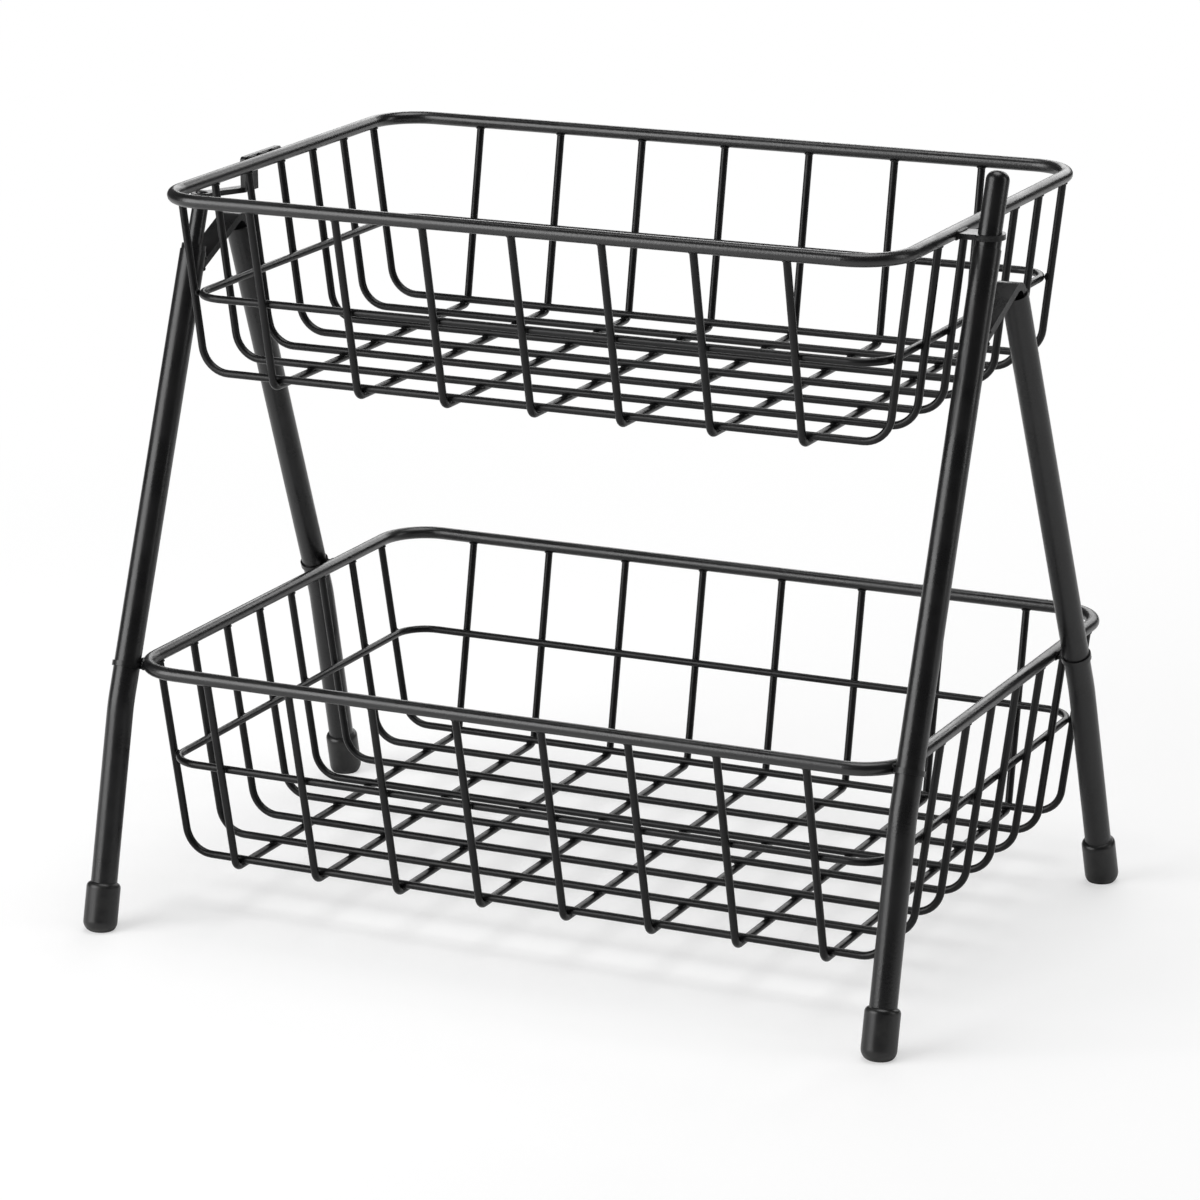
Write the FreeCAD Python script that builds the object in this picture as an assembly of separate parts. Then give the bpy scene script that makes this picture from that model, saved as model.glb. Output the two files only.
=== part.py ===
import FreeCAD, Part
import math
import os

from FreeCAD import Vector

# Tiered wire basket: two wire baskets one above the other between two A-shaped leg frames.
# Millimetres. X runs along the long side, Y from front to back, Z up, the floor is Z = 0.

# Rims: closed rings of thick wire, measured to the wire's centre
rim_wire = 6.0
rim_corner = 22.0
upper_rim_depth = 223.0
upper_rim_height = 329.0
lower_rim_length = 370.0
lower_rim_depth = 262.0
lower_rim_height = 116.5

# Basket wires: each is bent to a U, and the long wires lie on the cross wires
basket_wire = 3.5
upper_drop = 82.0
upper_end_lean = 10.0
upper_front_lean = 17.0
upper_cross_count = 7
upper_cross_margin = 25.2
upper_long_count = 7
lower_floor_height = 24.0
lower_end_lean = 13.0
lower_front_lean = 20.0
lower_cross_count = 8
lower_cross_margin = 17.4
lower_long_count = 8
cross_bend = 5.0
long_bend = 13.0
mid_ring_drop = 46.0
mid_ring_corner = 15.0
weld_sink = 0.4
end_sink = 0.25

# Legs: round tubes, two on each side, set around the lower rim
leg_tube = 12.0
leg_wall = 0.7
front_joint_angle = 31.0
front_joint_gap = 0.8
rear_joint_gap = 2.3
joint_half_span = 92.5
rim_level_half_span = 8.0
foot_half_span = 124.8
rear_tube_below_rim = 31.0
straight_below_joint = 18.0
knee_bend = 60.0

# Leg joint: a pin through the upper tube, the rim's tab and the lower tube
tab_thickness = 2.4
tab_edge = 0.8
tab_stub = 5.0
pin_above = 18.0
pin_below = 12.0

# Tie strap: a bent flat bar from the rear tube's top to the front tube
strap_thickness = 3.5
strap_tongue = 12.0
strap_sink = 0.1
strap_rise = 6.5
strap_bend = 6.0
strap_fall = 19.0

# Hangers: a plate on each end of the upper rim, with a peg that stands in the front tube
hanger_thickness = 2.4
hanger_reach = 15.26
eye_edge = 1.4
lug_width = 11.0
strip_length = 34.0
strip_behind_eye = 17.0
strip_cope = 0.6
strip_above_rim = 0.5
strip_below_rim = 0.5
strip_corner = 2.0
arm_width = 12.0
left_eye_below_rim = 11.5
right_eye_below_rim = 0.6
left_tube_below_eye = 24.0
right_tube_below_eye = 5.2
peg_shank_length = 26.0
peg_clearance = 0.3
collar_inset = 0.4
collar_height = 2.5
left_neck_inset = 2.3
right_neck_inset = 0.4
head_step = 0.5
left_head_above_eye = 1.5
left_head_round = 1.0
right_head_above_eye = 26.0
right_head_round = 4.2
seat_gap = 0.1

# Foot caps
foot_wall = 1.75
foot_length = 22.0
foot_shoulder = 2.5
foot_round = 5.2
foot_cut = 0.5
foot_floor = 6.0

# Sizes that follow from the ones above
leg_bore = leg_tube - 2 * leg_wall
tab_diameter = leg_tube + 2 * tab_edge
peg_collar = leg_tube - 2 * collar_inset
left_neck = leg_tube - 2 * left_neck_inset
right_neck = leg_tube - 2 * right_neck_inset
foot_diameter = leg_tube + 2 * foot_wall
lower_drop = lower_rim_height - lower_floor_height
joint_reach = rim_corner + rim_wire / 2 + leg_tube / 2 + front_joint_gap
front_leg_x = lower_rim_length / 2 - rim_corner + joint_reach * math.cos(math.radians(front_joint_angle))
upper_rim_length = 2 * (front_leg_x - hanger_reach)
rear_tube_top = upper_rim_height - rear_tube_below_rim


def bent_path(points, radius, closed=False):
    # A line through the points with an arc at every bend
    count = len(points)
    bends = range(count) if closed else range(1, count - 1)
    starts = {}
    ends = {}
    arcs = {}
    for i in bends:
        here = points[i]
        back = (points[i - 1] - here).normalize()
        ahead = (points[(i + 1) % count] - here).normalize()
        half = back.getAngle(ahead) / 2
        middle = (back + ahead).normalize()
        nearest = here + middle * (radius / math.sin(half) - radius)
        starts[i] = here + back * (radius / math.tan(half))
        ends[i] = here + ahead * (radius / math.tan(half))
        arcs[i] = Part.Arc(starts[i], nearest, ends[i]).toShape()
    edges = []
    if closed:
        for i in bends:
            edges.append(arcs[i])
            edges.append(Part.makeLine(ends[i], starts[(i + 1) % count]))
    else:
        place = points[0]
        for i in bends:
            edges.append(Part.makeLine(place, starts[i]))
            edges.append(arcs[i])
            place = ends[i]
        edges.append(Part.makeLine(place, points[-1]))
    return Part.Wire(edges)


def round_bar(path, diameter):
    # A round bar along a path
    first = path.Edges[0]
    start = first.valueAt(first.FirstParameter)
    along = first.tangentAt(first.FirstParameter)
    section = Part.Wire(Part.makeCircle(diameter / 2, start, along))
    return path.makePipeShell([section], True, False)


def ring_path(length, depth, height, corner):
    # A closed rounded rectangle at one height
    x = length / 2
    y = depth / 2
    points = [Vector(-x, -y, height), Vector(x, -y, height), Vector(x, y, height), Vector(-x, y, height)]
    return bent_path(points, corner, closed=True)


def basket(name, length, depth, height, drop, end_lean, front_lean, cross_count, cross_margin, long_count):
    # Rim, mid ring and both sets of U wires of one basket
    shapes = {}
    shapes[name + "_rim"] = round_bar(ring_path(length, depth, height, rim_corner), rim_wire)
    long_floor = height - drop
    cross_floor = long_floor - basket_wire + weld_sink
    end_slope = end_lean / drop
    front_slope = front_lean / drop

    # The mid ring touches the wall wires from inside
    inset = basket_wire - weld_sink
    ring_x = length / 2 - mid_ring_drop * end_slope - inset * math.hypot(1, end_slope)
    ring_y = depth / 2 - mid_ring_drop * front_slope - inset * math.hypot(1, front_slope)
    path = ring_path(2 * ring_x, 2 * ring_y, height - mid_ring_drop, mid_ring_corner)
    shapes[name + "_mid_ring"] = round_bar(path, basket_wire)

    # Cross wires: front wall, floor and back wall; the ends sink a little into the rim's underside
    below = rim_wire / 2 - end_sink
    top = height - below
    y_top = depth / 2 - below * front_slope
    y_floor = depth / 2 - (height - cross_floor) * front_slope
    cross_pitch = (length - 2 * rim_corner - 2 * cross_margin) / (cross_count - 1)
    for i in range(cross_count):
        x = (i - (cross_count - 1) / 2) * cross_pitch
        points = [
            Vector(x, -y_top, top),
            Vector(x, -y_floor, cross_floor),
            Vector(x, y_floor, cross_floor),
            Vector(x, y_top, top),
        ]
        shapes["%s_cross_wire_%d" % (name, i + 1)] = round_bar(bent_path(points, cross_bend), basket_wire)

    # Long wires: end wall, floor and end wall, spread over the flat of the cross wires
    turn = math.pi / 2 - math.atan(front_slope)
    y_flat = y_floor - cross_bend * math.tan(turn / 2)
    long_pitch = 2 * y_flat / (long_count - 1)
    x_top = length / 2 - below * end_slope
    x_floor = length / 2 - drop * end_slope
    for i in range(long_count):
        y = (i - (long_count - 1) / 2) * long_pitch
        points = [
            Vector(-x_top, y, top),
            Vector(-x_floor, y, long_floor),
            Vector(x_floor, y, long_floor),
            Vector(x_top, y, top),
        ]
        shapes["%s_long_wire_%d" % (name, i + 1)] = round_bar(bent_path(points, long_bend), basket_wire)
    return shapes


def on_line(start, along, height):
    # The point of a line at a given height
    return start + along * ((height - start.z) / along.z)


def tube(start, end):
    # A straight leg tube
    along = end - start
    outside = Part.makeCylinder(leg_tube / 2, along.Length, start, along)
    return outside.cut(Part.makeCylinder(leg_bore / 2, along.Length, start, along))


def foot_cap(foot, down, tube_end):
    # A cap in line with the lower tube, cut flat on the floor a little above its own round end
    radius = foot_diameter / 2
    flat = radius - foot_round
    tilt = math.acos(-down.z)
    dip = flat * math.tan(tilt) + foot_cut
    length = foot_length + dip
    edge = foot_shoulder * (1 - math.sqrt(0.5))
    low_edge = foot_round * (1 - math.sqrt(0.5))
    top = radius - foot_shoulder
    corners = [
        Vector(top, 0, length),
        Vector(0, 0, length),
        Vector(0, 0, 0),
        Vector(flat, 0, 0),
        Vector(radius, 0, foot_round),
        Vector(radius, 0, length - foot_shoulder),
    ]
    edges = [Part.makeLine(corners[i], corners[i + 1]) for i in range(len(corners) - 1)]
    edges[3] = Part.Arc(corners[3], Vector(radius - low_edge, 0, low_edge), corners[4]).toShape()
    edges.append(Part.Arc(corners[-1], Vector(radius - edge, 0, length - edge), corners[0]).toShape())
    cap = Part.Face(Part.Wire(edges)).revolve(Vector(0, 0, 0), Vector(0, 0, 1), 360)
    cap.Placement = FreeCAD.Placement(foot + down * dip, FreeCAD.Rotation(Vector(0, 0, 1), down * -1))
    cap = cap.cut(Part.makeCylinder(leg_tube / 2, 2 * foot_length, tube_end, down * -1))
    size = 4 * foot_diameter
    return cap.cut(Part.makeBox(size, size, size, Vector(foot.x - size / 2, foot.y - size / 2, -size)))


def leg(place, foot, joint, up, tube_top, rim, rim_path):
    # One leg of the right side, from the foot cap to the top of the upper tube
    shapes = {}
    half_tab = tab_thickness / 2
    shapes[place + "_upper_leg"] = tube(joint + up * half_tab, tube_top)

    # The lower tube starts in line with the upper one and bends to the foot
    knee = joint - up * straight_below_joint
    down = (foot - knee).normalize()
    tube_end = on_line(foot, down, foot_floor)
    path = bent_path([joint - up * half_tab, knee, tube_end], knee_bend)
    shapes[place + "_lower_leg"] = round_bar(path, leg_tube).cut(round_bar(path, leg_bore))

    # Pin, and the tab that the pin holds: a flat ring with a stub coped to the rim
    pin = Part.makeCylinder(leg_bore / 2, pin_above + pin_below, joint - up * pin_below, up)
    shapes[place + "_pin"] = pin
    nearest = rim_path.distToShape(Part.Vertex(joint))[1][0][0]
    stub = Part.makeCylinder(tab_stub / 2, (nearest - joint).Length, joint, nearest - joint)
    disc = Part.makeCylinder(tab_diameter / 2, tab_thickness, joint - up * half_tab, up)
    slab = Part.makeCylinder(2 * tab_diameter, tab_thickness, joint - up * half_tab, up)
    shapes[place + "_rim_tab"] = disc.fuse(stub.common(slab)).removeSplitter().cut(pin).cut(rim)
    shapes[place + "_foot"] = foot_cap(foot, down, tube_end)
    return shapes


def tie_strap(rear_top, rear_up, front_joint, front_up):
    # A flat bar with a tongue in the rear tube's top, bent forward to butt on the front tube
    corner = on_line(rear_top, rear_up, rear_top.z + strap_rise)
    front = on_line(front_joint, front_up, corner.z - strap_fall)
    start = rear_top - rear_up * strap_tongue
    across = (front - corner).cross(rear_up).normalize()
    side = across.cross(rear_up)
    half_width = math.sqrt((leg_bore / 2 + strap_sink) ** 2 - (strap_thickness / 2) ** 2)
    wide = across * half_width
    thick = side * (strap_thickness / 2)
    section = Part.makePolygon([
        start + wide + thick,
        start - wide + thick,
        start - wide - thick,
        start + wide - thick,
        start + wide + thick,
    ])
    bar = bent_path([start, corner, front], strap_bend).makePipeShell([section], True, False)
    return bar.cut(Part.makeCylinder(leg_tube / 2, 4 * leg_tube, front - front_up * (2 * leg_tube), front_up))


def hanger_peg(tube_top, up, seat, neck, head, head_round):
    # A stepped peg: the shank stands in the tube, the collar rests on the tube's end,
    # the neck is cut level for the hanger and the head goes on above it
    start = tube_top + up * seat_gap
    collar = Part.makeCylinder(peg_collar / 2, collar_height, start, up)
    stem = Part.makeCylinder(neck / 2, 2 * neck + (seat - tube_top.z) / up.z, start, up)
    size = 8 * peg_collar
    above = Part.makeBox(size, size, size, Vector(tube_top.x - size / 2, tube_top.y - size / 2, seat))
    shank_diameter = leg_bore - 2 * peg_clearance
    low_end = tube_top - up * peg_shank_length
    shank = Part.makeCylinder(shank_diameter / 2, peg_shank_length + seat_gap, low_end, up)
    top = on_line(tube_top, up, head)
    rod = Part.makeCylinder(neck / 2 - head_step, (top - start).Length, start, up)
    end = max(rod.Edges, key=lambda e: e.BoundBox.ZMax + e.BoundBox.ZMin)
    rod = rod.makeFillet(head_round, [end])
    return stem.fuse(collar).cut(above).fuse([shank, rod]).removeSplitter()


def hanger_lug(eye, eye_diameter, peg, rim):
    # A flat lug from the rim's side to an eye around the peg
    inside = upper_rim_length / 2
    base = eye - Vector(0, 0, hanger_thickness / 2)
    corner = Vector(inside, eye.y - lug_width / 2, base.z)
    lug = Part.makeBox(eye.x - inside, lug_width, hanger_thickness, corner)
    ring = Part.makeCylinder(eye_diameter / 2, hanger_thickness, base)
    return lug.fuse(ring).removeSplitter().cut(peg).cut(rim)


def hanger_bracket(eye, eye_diameter, peg, rim):
    # A strip along the rim's outer side; an arm at its front end goes down and out to an eye around the peg
    inside = upper_rim_length / 2 + rim_wire / 2 - strip_cope
    base = eye - Vector(0, 0, hanger_thickness / 2)
    top = upper_rim_height + rim_wire / 2 + strip_above_rim
    bottom = upper_rim_height - rim_wire / 2 - strip_below_rim
    front = eye.y + strip_behind_eye
    near = hanger_thickness / 20
    strip = Part.makeBox(hanger_thickness, strip_length, top - bottom, Vector(inside, front, bottom))
    ends = [e for e in strip.Edges if e.BoundBox.ZMin > top - 2 * near and e.BoundBox.YLength < near]
    strip = strip.makeFillet(strip_corner, ends)
    arm = Part.makeBox(hanger_thickness, arm_width, bottom - base.z, Vector(inside, front, base.z))
    outline = [
        Vector(inside, front, base.z),
        Vector(eye.x, eye.y - eye_diameter / 2, base.z),
        Vector(eye.x, eye.y + eye_diameter / 2, base.z),
        Vector(inside, front + arm_width, base.z),
        Vector(inside, front, base.z),
    ]
    foot = Part.Face(Part.makePolygon(outline)).extrude(Vector(0, 0, hanger_thickness))
    ring = Part.makeCylinder(eye_diameter / 2, hanger_thickness, base)
    return strip.fuse([arm, foot, ring]).removeSplitter().cut(peg).cut(rim)


def end_frame(lower_rim, upper_rim, eye_height, tube_drop, neck, head, head_round, hanger):
    # Everything that stands beside the baskets at one end, laid out on the right
    shapes = {}
    rim_path = ring_path(lower_rim_length, lower_rim_depth, lower_rim_height, rim_corner)
    beside = rim_wire / 2 + leg_tube / 2

    # Places of the front leg: its joint stands off the rim's corner
    front_x = front_leg_x
    front_y = rim_corner - lower_rim_depth / 2 - joint_reach * math.sin(math.radians(front_joint_angle))
    middle = front_y + joint_half_span
    front_joint = Vector(front_x, front_y, lower_rim_height)
    front_up = (Vector(front_x, middle - rim_level_half_span, upper_rim_height) - front_joint).normalize()
    seat = eye_height - hanger_thickness / 2
    front_top = on_line(front_joint, front_up, eye_height - tube_drop)
    front_foot = Vector(front_x, middle - foot_half_span, 0)
    shapes.update(leg("front", front_foot, front_joint, front_up, front_top, lower_rim, rim_path))

    # Places of the rear leg: it leans out from the front leg's plane to pass the rim's side
    rear_x = lower_rim_length / 2 + beside + rear_joint_gap
    rear_joint = Vector(rear_x, middle + joint_half_span, lower_rim_height)
    rear_up = (Vector(front_x, middle + rim_level_half_span, upper_rim_height) - rear_joint).normalize()
    rear_top = on_line(rear_joint, rear_up, rear_tube_top)
    lean = (rear_x - front_x) / (upper_rim_height - lower_rim_height)
    rear_foot = Vector(rear_x + lean * lower_rim_height, middle + foot_half_span, 0)
    shapes.update(leg("rear", rear_foot, rear_joint, rear_up, rear_top, lower_rim, rim_path))
    shapes["tie_strap"] = tie_strap(rear_top, rear_up, front_joint, front_up)

    # Peg in the front tube and the hanger that joins it to the upper rim
    peg = hanger_peg(front_top, front_up, seat, neck, head, head_round)
    eye = on_line(front_joint, front_up, eye_height)
    shapes["hanger_peg"] = peg
    shapes["hanger"] = hanger(eye, neck + 2 * eye_edge, peg, upper_rim)
    print("slide axis", front_up)
    return shapes


nodes = basket(
    "lower", lower_rim_length, lower_rim_depth, lower_rim_height, lower_drop, lower_end_lean,
    lower_front_lean, lower_cross_count, lower_cross_margin, lower_long_count,
)
nodes.update(basket(
    "upper", upper_rim_length, upper_rim_depth, upper_rim_height, upper_drop, upper_end_lean,
    upper_front_lean, upper_cross_count, upper_cross_margin, upper_long_count,
))

# The left end has a long slim peg under a low hanger and the right end a peg with a tall head;
# apart from that and the front tubes' length, the leg frames are mirror twins
left_eye = upper_rim_height - left_eye_below_rim
right_eye = upper_rim_height - right_eye_below_rim
ends = {
    "left": (
        left_eye, left_tube_below_eye, left_neck,
        left_eye + left_head_above_eye, left_head_round, hanger_bracket,
    ),
    "right": (
        right_eye, right_tube_below_eye, right_neck,
        right_eye + right_head_above_eye, right_head_round, hanger_lug,
    ),
}
pins = []
for side, layout in ends.items():
    frame = end_frame(nodes["lower_rim"], nodes["upper_rim"], *layout)
    for name, shape in frame.items():
        if side == "left":
            shape = shape.mirror(Vector(0, 0, 0), Vector(1, 0, 0))
        if name.endswith("_pin"):
            pins.append(shape)
        else:
            nodes[side + "_" + name] = shape
nodes["leg_joint_pins"] = Part.makeCompound(pins)

# The whole stands on the floor with its outline's middle over the origin
boxes = [shape.optimalBoundingBox(True, False) for shape in nodes.values()]
shift_y = -(min(box.YMin for box in boxes) + max(box.YMax for box in boxes)) / 2
print("shift", shift_y, "height", max(box.ZMax for box in boxes), "low", min(box.ZMin for box in boxes))
os.makedirs("parts", exist_ok=True)
for name, shape in nodes.items():
    shape.translate(Vector(0, shift_y, 0))
    shape.exportStep("parts/%s.step" % name)
    print(name, len(shape.Solids), round(shape.Volume), "mm3", "valid" if shape.isValid() else "NOT VALID")
print(len(nodes), "nodes")
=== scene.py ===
import math

import bpy
from mathutils import Euler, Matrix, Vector


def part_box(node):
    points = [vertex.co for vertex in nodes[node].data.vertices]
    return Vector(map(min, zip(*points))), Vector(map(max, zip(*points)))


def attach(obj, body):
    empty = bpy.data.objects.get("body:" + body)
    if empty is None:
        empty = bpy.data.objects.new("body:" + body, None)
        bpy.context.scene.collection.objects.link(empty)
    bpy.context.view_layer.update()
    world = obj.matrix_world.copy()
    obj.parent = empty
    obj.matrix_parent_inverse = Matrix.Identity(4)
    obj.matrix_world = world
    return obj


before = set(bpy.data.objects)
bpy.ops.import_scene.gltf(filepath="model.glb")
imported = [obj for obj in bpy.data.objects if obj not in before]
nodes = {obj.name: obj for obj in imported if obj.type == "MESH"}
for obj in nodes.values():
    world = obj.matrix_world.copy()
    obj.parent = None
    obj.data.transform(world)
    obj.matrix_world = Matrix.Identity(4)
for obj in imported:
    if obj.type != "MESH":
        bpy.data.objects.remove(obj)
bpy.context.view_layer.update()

scene = bpy.context.scene
rimLow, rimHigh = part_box("lower_rim")
rimMiddle = (rimLow.y + rimHigh.y) / 2  # both baskets have their middle here, between front and back


class Tone:  # one output socket; arithmetic on it adds Math nodes
    def __init__(self, finish, socket):
        self.finish = finish
        self.socket = socket

    def math(self, operation, first, second):
        return self.finish.add("ShaderNodeMath", {"operation": operation}, {0: first, 1: second})

    def __add__(self, other):
        return self.math("ADD", self, other)

    def __radd__(self, other):
        return self.math("ADD", other, self)

    def __sub__(self, other):
        return self.math("SUBTRACT", self, other)

    def __rsub__(self, other):
        return self.math("SUBTRACT", other, self)

    def __mul__(self, other):
        return self.math("MULTIPLY", self, other)

    def __rmul__(self, other):
        return self.math("MULTIPLY", other, self)


mixColours, mixResult = (6, 7), 2  # a Mix node's colour sockets and its colour output


class Finish:  # a node tree being laid out: a material's, or the world's
    def __init__(self, tree):
        self.tree = tree
        self.tree.nodes.clear()

    def add(self, kind, settings=None, sockets=None, out=0):  # any node; gives the output that out names
        node = self.tree.nodes.new(kind)
        for key, value in (settings or {}).items():
            setattr(node, key, value)
        for key, value in (sockets or {}).items():
            if isinstance(value, Tone):
                self.tree.links.new(value.socket, node.inputs[key])
            else:
                node.inputs[key].default_value = value
        return Tone(self, node.outputs[out]) if node.outputs else None

    def noise(self, place, size, detail=2.0, rough=0.5):  # blotches about size metres across
        sockets = {"Vector": place, "Scale": 1 / size, "Detail": detail, "Roughness": rough}
        return self.add("ShaderNodeTexNoise", {}, sockets)

    def ramp(self, value, edges, ends=(0.0, 1.0)):  # goes softly from one end to the other between the edges
        settings = {"clamp": True, "interpolation_type": "SMOOTHSTEP"}
        sockets = {"Value": value}
        sockets["From Min"], sockets["From Max"] = edges
        sockets["To Min"], sockets["To Max"] = ends
        return self.add("ShaderNodeMapRange", settings, sockets)

    def mix(self, amount, first, second):  # colours
        sockets = {0: amount, mixColours[0]: first, mixColours[1]: second}
        return self.add("ShaderNodeMix", {"data_type": "RGBA"}, sockets, out=mixResult)

    def relief(self, bumps):  # bumps: height, strength, depth, from the coarsest to the finest
        normal = None
        for height, strength, depth in bumps:
            links = {"Height": height, "Strength": strength, "Distance": depth}
            if normal:
                links["Normal"] = normal
            normal = self.add("ShaderNodeBump", {}, links)
        return normal

    def surface(self, shader):
        self.add("ShaderNodeOutputMaterial", {}, {"Surface": shader})

    def principled(self, sockets):
        self.surface(self.add("ShaderNodeBsdfPrincipled", {}, sockets))


def newFinish(name):
    material = bpy.data.materials.new(name)
    material.use_nodes = True
    return material, Finish(material.node_tree)


noiseSpan = (0.3, 0.7)  # nearly all of a noise lies between these

coat = {
    "dark": (0.0036, 0.0036, 0.0039, 1),  # satin black powder, pooled a little darker in places
    "pale": (0.0068, 0.0068, 0.0072, 1),
    "dusty": (0.045, 0.044, 0.042, 1),  # fine dust and rubbed high spots
    "blotch": 0.021,
    "blotchEdges": (0.35, 0.65),
    "peel": 0.0011,  # the flow texture of the baked powder
    "grain": 0.00028,
    "speckEdges": (0.66, 0.78),  # dust sits on the grain's peaks
    "dustEdges": (0.4, 0.7),  # and more of it in the pale blotches
    "roughness": (0.27, 0.35),
    "flicker": (-0.03, 0.03),  # what the grain adds to the roughness
    "peelBump": (0.22, 0.00022),  # strength and depth
    "grainBump": (0.10, 0.00005),
}
coatOn = {  # how much dust shows, and the specular level
    "tube": (0.35, 0.42),
    "rim": (0.35, 0.58),
    "wire": (0.2, 0.24),
}


def makePowderCoat(name, rubbed, gloss):
    material, f = newFinish(name)
    place = f.add("ShaderNodeTexCoord", out="Object")
    blotch = f.noise(place, coat["blotch"], detail=3.0)
    peel = f.noise(place, coat["peel"], detail=1.5, rough=0.4)
    grain = f.noise(place, coat["grain"], rough=0.6)
    colour = f.mix(f.ramp(blotch, coat["blotchEdges"]), coat["dark"], coat["pale"])
    specks = f.ramp(grain, coat["speckEdges"]) * f.ramp(blotch, coat["dustEdges"])
    f.principled({
        "Base Color": f.mix(specks * rubbed, colour, coat["dusty"]),
        "Roughness": f.ramp(blotch, noiseSpan, coat["roughness"]) + f.ramp(grain, noiseSpan, coat["flicker"]),
        "Specular IOR Level": gloss,
        "Normal": f.relief([(peel, *coat["peelBump"]), (grain, *coat["grainBump"])]),
    })
    return material


rubber = {
    "body": (0.0065, 0.0065, 0.0068, 1),
    "bloom": (0.014, 0.0138, 0.0134, 1),  # the grey bloom that moulded rubber gets
    "scuff": (0.06, 0.0585, 0.056, 1),  # rubbed pale where the cap meets the floor
    "scuffHeight": 0.0036,
    "scuffEdges": (0.55, 1.0),
    "scuffGrain": 0.5,  # how far the grain breaks up the scuffs
    "patch": 0.006,
    "patchEdges": (0.35, 0.7),
    "grain": 0.00035,
    "gloss": 0.4,
    "roughness": (0.3, 0.39),
    "scuffRoughness": 0.24,  # what the scuffs add
    "patchBump": (0.10, 0.0002),  # strength and depth
    "grainBump": (0.25, 0.00006),
}


def makeRubber(name):
    material, f = newFinish(name)
    place = f.add("ShaderNodeTexCoord", out="Object")
    height = f.add("ShaderNodeSeparateXYZ", {}, {"Vector": place}, out="Z")
    patch = f.noise(place, rubber["patch"], detail=3.0)
    grain = f.noise(place, rubber["grain"], rough=0.6)
    colour = f.mix(f.ramp(patch, rubber["patchEdges"]), rubber["body"], rubber["bloom"])
    low = 1 - f.ramp(height, (0.0, rubber["scuffHeight"]))
    scuffs = low * f.ramp(patch + grain * rubber["scuffGrain"], rubber["scuffEdges"])
    f.principled({
        "Base Color": f.mix(scuffs, colour, rubber["scuff"]),
        "Roughness": f.ramp(patch, noiseSpan, rubber["roughness"]) + low * rubber["scuffRoughness"],
        "Specular IOR Level": rubber["gloss"],
        "Normal": f.relief([(patch, *rubber["patchBump"]), (grain, *rubber["grainBump"])]),
    })
    return material


steel = {
    "bright": (0.58, 0.58, 0.59, 1),
    "dull": (0.42, 0.415, 0.41, 1),
    "draw": (1, 1, 0.06),  # drawn lines run along the pin
    "line": 0.0003,
    "roughness": (0.42, 0.28),
    "lineBump": (0.15, 0.00003),  # strength and depth
}


def makeSteel(name):
    material, f = newFinish(name)
    place = f.add("ShaderNodeTexCoord", out="Object")
    drawn = f.add("ShaderNodeVectorMath", {"operation": "MULTIPLY"}, {0: place, 1: steel["draw"]})
    lines = f.noise(drawn, steel["line"], rough=0.6)
    f.principled({
        "Base Color": f.mix(f.ramp(lines, noiseSpan), steel["dull"], steel["bright"]),
        "Roughness": f.ramp(lines, noiseSpan, steel["roughness"]),
        "Metallic": 1.0,
        "Normal": f.relief([(lines, *steel["lineBump"])]),
    })
    return material


powder = {stock: makePowderCoat("powder_coat_" + stock, *values) for stock, values in coatOn.items()}
capRubber = makeRubber("foot_cap_rubber")
pinSteel = makeSteel("drawn_pin_steel")


def finishOf(name):
    if name.endswith("_foot"):
        return capRubber
    if name == "leg_joint_pins":
        return pinSteel
    if name.endswith("_rim"):
        return powder["rim"]
    if "_wire_" in name or name.endswith(("_ring", "_tie_strap")):
        return powder["wire"]
    return powder["tube"]


for name, node in nodes.items():
    node.data.materials.clear()
    node.data.materials.append(finishOf(name))
print("finishes set on", len(nodes), "nodes")


def turnTo(direction):  # a turn that takes Z to a direction
    return Vector((0, 0, 1)).rotation_difference(Vector(direction)).to_matrix()


bead = {"rings": 8, "segments": 14}


class Welds:  # beads of weld metal gathered into one piece
    def __init__(self):
        self.points = []
        self.faces = []

    def add(self, place, direction, radii):  # one bead: a smooth ball, flattened along its direction
        rings, segments = bead["rings"], bead["segments"]
        turn = turnTo(direction)
        scale = Vector(radii)
        first = len(self.points)
        last = first + 1 + (rings - 1) * segments
        spots = [Vector((0, 0, 1))]
        for i in range(1, rings):
            down = math.pi * i / rings
            wide = math.sin(down)
            for j in range(segments):
                around = 2 * math.pi * j / segments
                spots.append(Vector((wide * math.cos(around), wide * math.sin(around), math.cos(down))))
        spots.append(Vector((0, 0, -1)))
        self.points += [Vector(place) + turn @ (spot * scale) for spot in spots]
        for j in range(segments):
            k = (j + 1) % segments
            self.faces.append((first, first + 1 + j, first + 1 + k))
            for i in range(rings - 2):
                row = first + 1 + i * segments
                self.faces.append((row + j, row + segments + j, row + segments + k, row + k))
            row = last - segments
            self.faces.append((row + j, last, row + k))

    def addBoth(self, place, direction, radii):  # the same bead at the right and at the left end
        for side in (1, -1):
            mirror = Vector((side, 1, 1))
            self.add(place * mirror, direction * mirror, radii)

    def finish(self, name, body):
        mesh = bpy.data.meshes.new(name)
        mesh.from_pydata(self.points, [], self.faces)
        mesh.polygons.foreach_set("use_smooth", [True] * len(self.faces))
        mesh.materials.append(powder["wire"])
        piece = bpy.data.objects.new(name, mesh)
        scene.collection.objects.link(piece)
        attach(piece, body)


weld = {
    "nugget": (0.00185, 0.00185, 0.00075),  # between two crossing wires
    "collar": (0.0023, 0.0023, 0.0009),  # where a wire's end meets the rim
    "sunk": 0.0002,  # how far a bead sits under the ring's or the rim's surface
}


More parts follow.
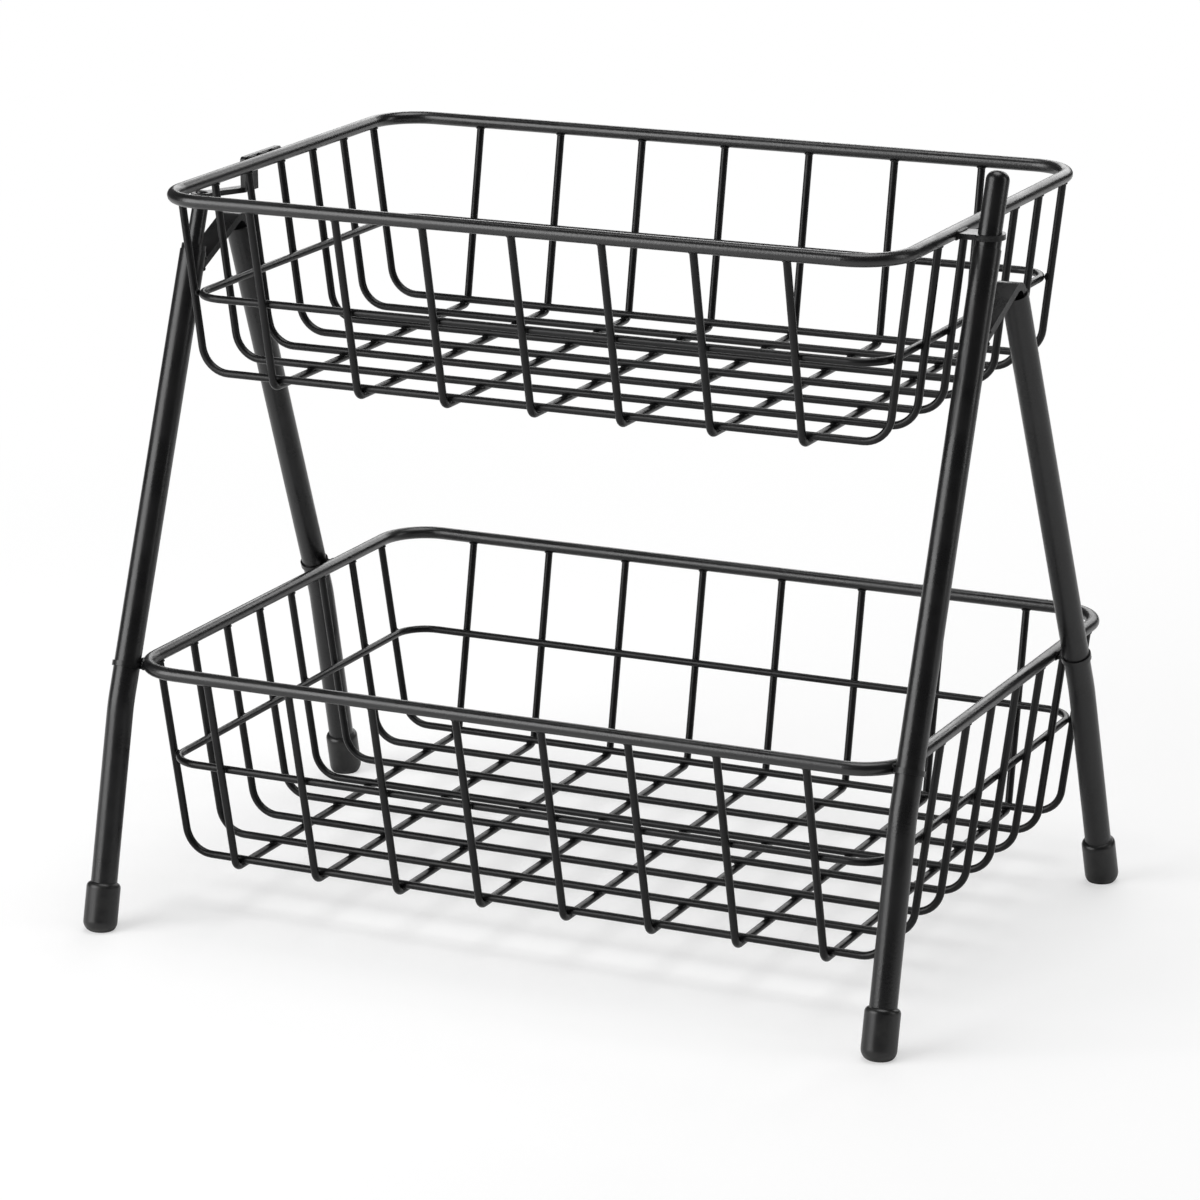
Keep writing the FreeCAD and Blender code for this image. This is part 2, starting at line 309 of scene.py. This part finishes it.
def basketWelds(welds, tier):
    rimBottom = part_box(tier + "_rim")[0].z + weld["sunk"]
    ringLow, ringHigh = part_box(tier + "_mid_ring")
    ringHeight = (ringLow.z + ringHigh.z) / 2
    cross = [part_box(n) for n in nodes if n.startswith(tier + "_cross_wire_")]
    along = [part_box(n) for n in nodes if n.startswith(tier + "_long_wire_")]
    wire = cross[0][1].x - cross[0][0].x
    for low, high in cross:
        x = (low.x + high.x) / 2
        for y, ringY, side in ((low.y + wire / 2, ringLow.y, -1), (high.y - wire / 2, ringHigh.y, 1)):
            welds.add((x, y, rimBottom), (0, 0, 1), weld["collar"])
            welds.add((x, ringY - side * weld["sunk"], ringHeight), (0, side, 0), weld["nugget"])
        for longLow, longHigh in along:
            y = (longLow.y + longHigh.y) / 2
            welds.add((x, y, (low.z + wire + longLow.z) / 2), (0, 0, 1), weld["nugget"])
    for low, high in along:
        y = (low.y + high.y) / 2
        for x, ringX, side in ((low.x + wire / 2, ringLow.x, -1), (high.x - wire / 2, ringHigh.x, 1)):
            welds.add((x, y, rimBottom), (0, 0, 1), weld["collar"])
            welds.add((ringX - side * weld["sunk"], y, ringHeight), (side, 0, 0), weld["nugget"])


ripple = (0.0011, 0.0011, 0.0008)  # hand-laid seams are rows of these, one over the next


def spread(half, count):  # evenly spaced from -half to half
    return [half * (2 * i / (count - 1) - 1) for i in range(count)]


hanger = {
    "rimRadius": 0.003,
    "stitch": 0.003,  # half the length of a stitch
    "stitches": (0.006, 0.017, 0.028),  # from the strip's rear end
    "stitchRipples": 11,
    "stitchFacing": (-0.6, 0, 0.8),
    "groove": (0.0022, 0.0025),  # outwards and upwards from the rim's middle
    "lugHalfWide": 0.0046,
    "lugRipples": 17,
}


def hangerSeams(welds):  # what holds the two hangers to the upper rim
    upperLow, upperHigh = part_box("upper_rim")
    rimHeight = (upperLow.z + upperHigh.z) / 2
    radius = hanger["rimRadius"]
    outwards, upwards = hanger["groove"]
    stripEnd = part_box("left_hanger")[1].y
    for start in hanger["stitches"]:
        for u in spread(hanger["stitch"], hanger["stitchRipples"]):
            place = (upperLow.x + radius - outwards, stripEnd - start + u, rimHeight + upwards)
            welds.add(place, hanger["stitchFacing"], ripple)
    lugLow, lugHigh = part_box("right_hanger")
    for level, up in ((lugLow.z, -1), (lugHigh.z, 1)):
        depth = math.sqrt(radius ** 2 - (level - rimHeight) ** 2)
        for u in spread(hanger["lugHalfWide"], hanger["lugRipples"]):
            place = (upperHigh.x - radius + depth, (lugLow.y + lugHigh.y) / 2 + u, level)
            welds.add(place, (1, 0, up), ripple)


upperWelds = Welds()
basketWelds(upperWelds, "upper")
hangerSeams(upperWelds)
upperWelds.finish("upper_basket_welds", "upper_basket")

strap = {
    "tube": 0.006,  # radius of the front leg
    "line": Vector((0, 84.5, 212.5)).normalized(),  # along the front leg
    "meets": Vector((0.190258, rimMiddle - 0.058176, 0.2855)),  # where the strap's middle meets that line
    "away": Vector((0.7, 43.04, 19.0)).normalized(),  # from the front leg up to the strap's bend
    "halfThick": 0.00175,
    "halfWide": 0.0049,
    "ripples": 12,
}


def strapSeams(welds):  # a seam over and under each strap's end
    away = strap["away"]
    across = Vector((1, 0, 0))
    back = strap["line"].cross(across)
    thick = across.cross(away)
    for edge in (1, -1):
        rise = thick * (edge * strap["halfThick"])
        facing = (back + thick * edge).normalized()
        for u in spread(strap["halfWide"], strap["ripples"]):
            depth = math.sqrt(strap["tube"] ** 2 - u ** 2)
            reach = (depth - rise.dot(back)) / away.dot(back)
            welds.addBoth(strap["meets"] + across * u + away * reach + rise, facing, ripple)


tab = {
    "wireRadius": 0.003,
    "corner": 0.022,  # bend of the rim's corner
    "frontAngle": 31.0,  # the front leg stands off the corner this way
    "rearPlace": 0.059622,  # behind the rim's middle
    "halfWide": 0.0026,
    "halfThick": 0.0013,
    "sunk": 0.0003,
    "ripples": 7,
}


def tabSeams(welds):  # over and under each tab where it meets the lower rim
    rimHeight = (rimLow.z + rimHigh.z) / 2
    angle = math.radians(tab["frontAngle"])
    inset = tab["wireRadius"] + tab["corner"]
    toFront = Vector((math.cos(angle), -math.sin(angle), 0))
    atFront = Vector((rimHigh.x - inset, rimLow.y + inset, rimHeight)) + toFront * inset
    atRear = Vector((rimHigh.x, rimMiddle + tab["rearPlace"], rimHeight))
    for place, out in ((atFront, toFront), (atRear, Vector((1, 0, 0)))):
        across = Vector((-out.y, out.x, 0))
        for edge in (1, -1):
            facing = (out + Vector((0, 0, edge))).normalized()
            start = place - out * tab["sunk"] + Vector((0, 0, edge * tab["halfThick"]))
            for u in spread(tab["halfWide"], tab["ripples"]):
                welds.addBoth(start + across * u, facing, ripple)


standWelds = Welds()
basketWelds(standWelds, "lower")
strapSeams(standWelds)
tabSeams(standWelds)
standWelds.finish("lower_basket_welds", "stand")
print("welds laid:", len(upperWelds.faces) + len(standWelds.faces), "faces")

shot = {
    "place": (0.88236, rimMiddle - 1.84823, 0.72909),
    "turn": (73.8476, 0.5433, 25.6986),  # degrees
    "lens": 140.06,
    "sensor": 36.0,
    "farClip": 100.0,
}


def makeCamera():
    camera = bpy.data.cameras.new("shot")
    camera.lens = shot["lens"]
    camera.sensor_fit = "HORIZONTAL"
    camera.sensor_width = shot["sensor"]
    camera.clip_end = shot["farClip"]
    eye = bpy.data.objects.new("shot", camera)
    eye.location = shot["place"]
    eye.rotation_euler = Euler([math.radians(a) for a in shot["turn"]], "XYZ")
    scene.collection.objects.link(eye)
    scene.camera = eye


studio = {
    "floor": (0.96, 0.96, 0.96, 1),
    "floorSize": 60.0,
    "near": 0.38,  # within this distance the floor shows its own light and shadow
    "far": 0.95,  # beyond this distance it is plain white
    "keep": 0.45,  # how much plain white is in the near floor
    "world": 0.1,  # what the surroundings give as light
    "white": 1.0,  # what the camera sees of the plain floor, and beyond it
    "glow": (1, 1, 1, 1),
    "aim": (0, 0, 0.17),
}
lamps = {  # place, width, height, power
    "key": ((-1.25, -1.5, 0.85), 1.6, 1.5, 40.0),
    "top": ((0.05, 0.1, 2.1), 1.4, 1.2, 24.0),
    "back": ((-0.3, 2.3, 1.2), 2.6, 0.9, 26.0),
    "edge": ((1.85, 0.35, 0.8), 0.4, 1.2, 5.0),
}


def makeFloor():
    material, f = newFinish("studio_floor")
    place = f.add("ShaderNodeTexCoord", out="Object")
    distance = f.add("ShaderNodeVectorMath", {"operation": "LENGTH"}, {0: place}, out="Value")
    plain = f.ramp(distance, (studio["near"], studio["far"]), (studio["keep"], 1.0))
    lit = f.add("ShaderNodeBsdfDiffuse", {}, {"Color": studio["floor"]})
    glow = f.add("ShaderNodeEmission", {}, {"Color": studio["glow"], "Strength": studio["white"]})
    seen = f.add("ShaderNodeLightPath", out="Is Camera Ray")
    f.surface(f.add("ShaderNodeMixShader", {}, {0: seen * plain, 1: lit, 2: glow}))
    half = studio["floorSize"] / 2
    mesh = bpy.data.meshes.new("studio_floor")
    corners = [(-half, -half, 0), (half, -half, 0), (half, half, 0), (-half, half, 0)]
    mesh.from_pydata(corners, [], [(0, 1, 2, 3)])
    mesh.materials.append(material)
    floor = bpy.data.objects.new("studio_floor", mesh)
    scene.collection.objects.link(floor)


def makeWorld():
    world = bpy.data.worlds.new("studio")
    world.use_nodes = True
    scene.world = world
    f = Finish(world.node_tree)
    seen = f.add("ShaderNodeLightPath", out="Is Camera Ray")
    strength = seen * (studio["white"] - studio["world"]) + studio["world"]
    sky = f.add("ShaderNodeBackground", {}, {"Color": studio["glow"], "Strength": strength})
    f.add("ShaderNodeOutputWorld", {}, {"Surface": sky})


def makeLamps():
    for name, (place, width, height, power) in lamps.items():
        data = bpy.data.lights.new(name, "AREA")
        data.shape = "RECTANGLE"
        data.size = width
        data.size_y = height
        data.energy = power
        lamp = bpy.data.objects.new(name, data)
        lamp.location = place
        toAim = Vector(studio["aim"]) - Vector(place)
        lamp.rotation_euler = toAim.to_track_quat("-Z", "Y").to_euler()
        scene.collection.objects.link(lamp)


makeCamera()
makeFloor()
makeWorld()
makeLamps()
scene.view_settings.view_transform = "Standard"
print("studio set:", len(lamps), "lamps")
